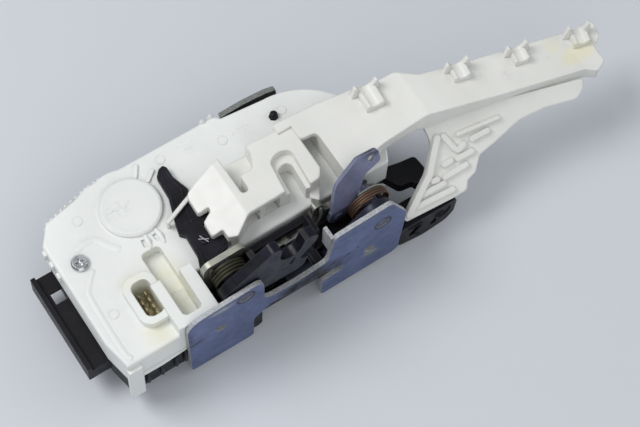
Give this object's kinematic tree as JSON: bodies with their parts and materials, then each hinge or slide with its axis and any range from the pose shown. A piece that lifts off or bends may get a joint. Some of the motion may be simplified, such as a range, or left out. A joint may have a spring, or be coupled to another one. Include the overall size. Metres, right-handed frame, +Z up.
{
  "type": "door latch actuator",
  "caption": "Vehicle door latch with steel face, fork claw and pawl, on a black and white actuator housing with an ivory guide arm.",
  "frame": {"origin": "centre line of the striker mouth on the latch plate's outer face", "axes": "+X along the housing towards the guide arm's tip, +Y away from the latch face into the door, +Z up through the white cover"},
  "size_m": [0.2559, 0.082, 0.0688],
  "materials": {
    "zinc_steel": "zinc plated, satin",
    "yellow_zinc": "yellow passivated zinc, satin",
    "pin_steel": "ground steel",
    "claw_steel": "dark heat treated steel",
    "black_plastic": "fine grained black moulding",
    "white_plastic": "matt off-white moulding",
    "ivory_plastic": "smooth natural moulding",
    "copper_wire": "copper-brown round wire",
    "dark_wire": "oiled spring wire",
    "bumper_rubber": "soft black rubber",
    "bright_zinc": "bright zinc",
    "contact_brass": "tinned brass contacts",
    "motor_steel": "drawn steel can",
    "gear_plastic": "natural gear moulding"
  },
  "bodies": {
    "latch_housing": {"latch_plate": "zinc_steel", "back_plate": "yellow_zinc", "claw_pin": "pin_steel", "pawl_pin": "pin_steel", "claw_spring": "dark_wire", "pawl_spring": "copper_wire", "claw_chamber": "black_plastic", "striker_channel": "black_plastic", "latch_body": "black_plastic", "striker_bumper": "bumper_rubber", "base_housing": "black_plastic", "actuator_cover": "white_plastic", "cover_screw": "bright_zinc", "inside_lever_pin": "pin_steel", "release_pin": "pin_steel", "outside_lever_pin": "pin_steel", "side_bracket": "black_plastic", "arm_carrier": "ivory_plastic", "motor_can": "motor_steel", "motor_end_cap": "black_plastic", "gear_pin": "pin_steel", "contact_board": "black_plastic", "connector_terminals": "contact_brass", "microswitch_claw": "black_plastic", "microswitch_lock": "black_plastic"},
    "claw": {"claw": "claw_steel", "claw_coat": "black_plastic"},
    "pawl": {"pawl": "claw_steel"},
    "release_lever": {"release_lever": "zinc_steel"},
    "inside_lever": {"inside_lever": "black_plastic"},
    "outside_lever": {"outside_lever": "zinc_steel"},
    "worm": {"armature": "copper_wire", "worm_shaft": "contact_brass"},
    "wheel": {"worm_wheel": "gear_plastic", "output_lever": "gear_plastic"}
  },
  "joints": [
    {"name": "claw_hinge", "type": "hinge", "parent": "latch_housing", "child": "claw", "pos_m": [-0.0243, 0.0049, 0.017], "axis": [0, 1, 0], "range_deg": [0, 42], "stiffness_Nm_per_rad": 0.05},
    {"name": "pawl_hinge", "type": "hinge", "parent": "latch_housing", "child": "pawl", "pos_m": [0.0406, 0.0049, 0.0107], "axis": [0, 1, 0], "range_deg": [-3, 6]},
    {"name": "release_hinge", "type": "hinge", "parent": "latch_housing", "child": "release_lever", "pos_m": [0.0275, 0.0136, 0.0095], "axis": [0, 1, 0], "range_deg": [-3, 6]},
    {"name": "inside_hinge", "type": "hinge", "parent": "latch_housing", "child": "inside_lever", "pos_m": [-0.0243, 0.031, 0.0118], "axis": [0, 0, 1], "range_deg": [0, 4]},
    {"name": "outside_hinge", "type": "hinge", "parent": "latch_housing", "child": "outside_lever", "pos_m": [0.016, 0.0796, -0.012], "axis": [0, 1, 0], "range_deg": [-20, 10]},
    {"name": "wheel_hinge", "type": "hinge", "parent": "latch_housing", "child": "wheel", "pos_m": [-0.0413, 0.0595, -0.0045], "axis": [0, 0, 1], "range_deg": [0, 90]},
    {"name": "worm_hinge", "type": "hinge", "parent": "latch_housing", "child": "worm", "pos_m": [-0.0413, 0.045, -0.0045], "axis": [1, 0, 0], "range_deg": [-2520, 0]}
  ],
  "couplings": [
    {"joint": "release_hinge", "follows": "pawl_hinge", "ratio": 1},
    {"joint": "worm_hinge", "follows": "wheel_hinge", "ratio": -28}
  ]
}
